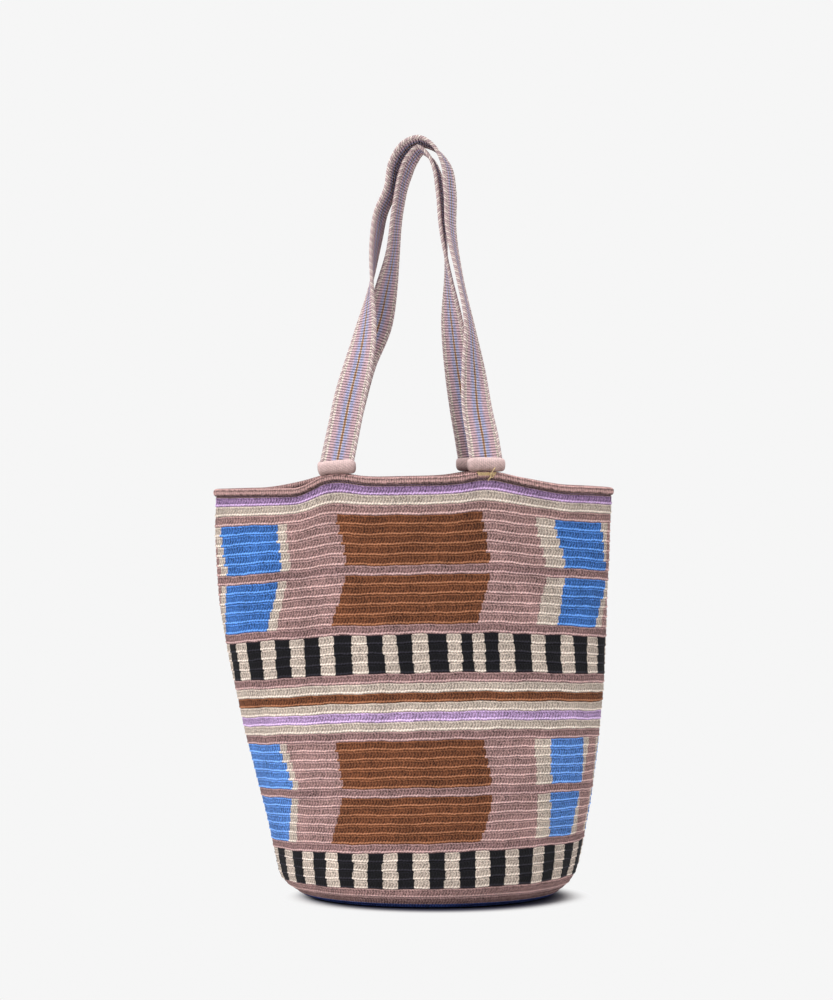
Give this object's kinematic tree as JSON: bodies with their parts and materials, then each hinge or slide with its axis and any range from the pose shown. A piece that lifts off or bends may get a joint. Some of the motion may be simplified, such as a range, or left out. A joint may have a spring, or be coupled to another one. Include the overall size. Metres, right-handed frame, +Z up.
{
  "type": "wayuu mochila bag",
  "caption": "Crocheted open-top shoulder bag with an oval foot, corded mouth edge and woven band handles bound on by wrapped cuffs.",
  "frame": {"origin": "middle of the flat underside, on the surface that the bag stands on", "axes": "+Z up towards the handles, -Y is the front that the picture shows, +X to its right"},
  "size_m": [0.3252, 0.1951, 0.6132],
  "materials": {
    "crochet_body": "matte ribbed crochet",
    "crochet_edge": "matte corded crochet",
    "woven_band": "matte woven band",
    "wrapped_thread": "soft satin wrapped thread"
  },
  "bodies": {
    "root": {"bag_body": "crochet_body", "rim_edging": "crochet_edge", "strap_front": "woven_band", "strap_back": "woven_band", "cuff_front_left": "wrapped_thread", "cuff_front_right": "wrapped_thread", "cuff_back_left": "wrapped_thread", "cuff_back_right": "wrapped_thread"}
  },
  "joints": []
}
